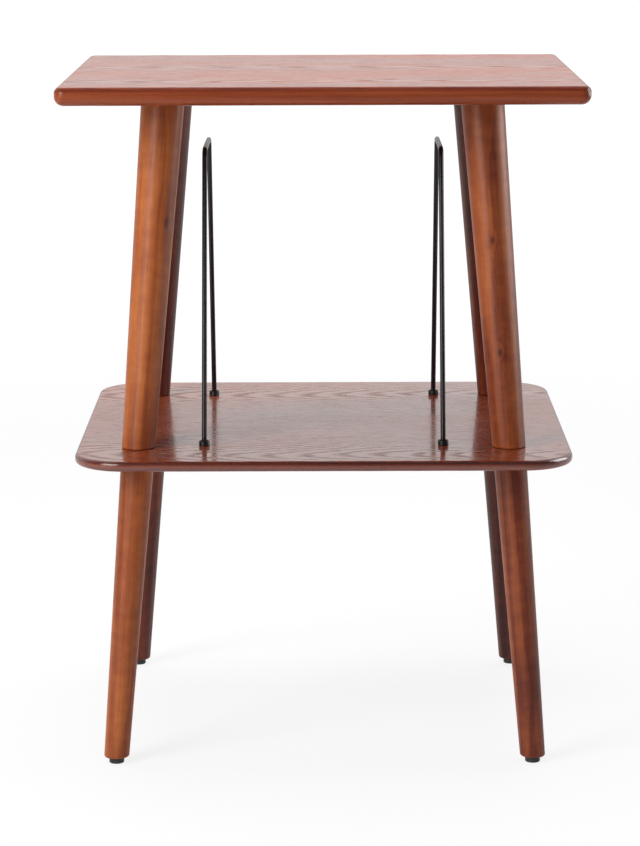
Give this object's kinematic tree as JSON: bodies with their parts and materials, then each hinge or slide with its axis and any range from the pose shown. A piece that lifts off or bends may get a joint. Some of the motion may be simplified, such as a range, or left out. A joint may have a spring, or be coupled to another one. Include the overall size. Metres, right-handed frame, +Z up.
{
  "type": "record storage stand",
  "caption": "Two-tier wooden stand with a flat top for a turntable, splayed round tapered legs and a round-cornered record shelf with bent-wire dividers.",
  "frame": {"origin": "centre of the stand on the floor", "axes": "+Z up, -Y to the front, +X to the right as seen from the front"},
  "size_m": [0.48, 0.395, 0.635],
  "materials": {
    "board_veneer": "satin lacquer over red-brown stained oak-grain veneer",
    "leg_wood": "satin lacquer over red-brown stained solid wood",
    "divider_wire": "satin black powder coat",
    "divider_collar": "matt black",
    "glide_plastic": "matt dark grey",
    "hardware_steel": "bright zinc plate"
  },
  "bodies": {
    "root": {"top_board": "board_veneer", "shelf_board": "board_veneer", "upper_leg_front_left": "leg_wood", "upper_leg_front_right": "leg_wood", "upper_leg_back_left": "leg_wood", "upper_leg_back_right": "leg_wood", "lower_leg_front_left": "leg_wood", "lower_leg_front_right": "leg_wood", "lower_leg_back_left": "leg_wood", "lower_leg_back_right": "leg_wood", "top_bolt_front_left": "hardware_steel", "top_bolt_front_right": "hardware_steel", "top_bolt_back_left": "hardware_steel", "top_bolt_back_right": "hardware_steel", "top_insert_front_left": "hardware_steel", "top_insert_front_right": "hardware_steel", "top_insert_back_left": "hardware_steel", "top_insert_back_right": "hardware_steel", "shelf_stud_front_left": "hardware_steel", "shelf_stud_front_right": "hardware_steel", "shelf_stud_back_left": "hardware_steel", "shelf_stud_back_right": "hardware_steel", "upper_leg_insert_front_left": "hardware_steel", "upper_leg_insert_front_right": "hardware_steel", "upper_leg_insert_back_left": "hardware_steel", "upper_leg_insert_back_right": "hardware_steel", "lower_leg_insert_front_left": "hardware_steel", "lower_leg_insert_front_right": "hardware_steel", "lower_leg_insert_back_left": "hardware_steel", "lower_leg_insert_back_right": "hardware_steel", "glide_nail_front_left": "hardware_steel", "glide_nail_front_right": "hardware_steel", "glide_nail_back_left": "hardware_steel", "glide_nail_back_right": "hardware_steel", "glide_pad_front_left": "glide_plastic", "glide_pad_front_right": "glide_plastic", "glide_pad_back_left": "glide_plastic", "glide_pad_back_right": "glide_plastic", "divider_wire_left": "divider_wire", "divider_collar_left_front": "divider_collar", "divider_collar_left_back": "divider_collar", "divider_wire_right": "divider_wire", "divider_collar_right_front": "divider_collar", "divider_collar_right_back": "divider_collar"}
  },
  "joints": []
}
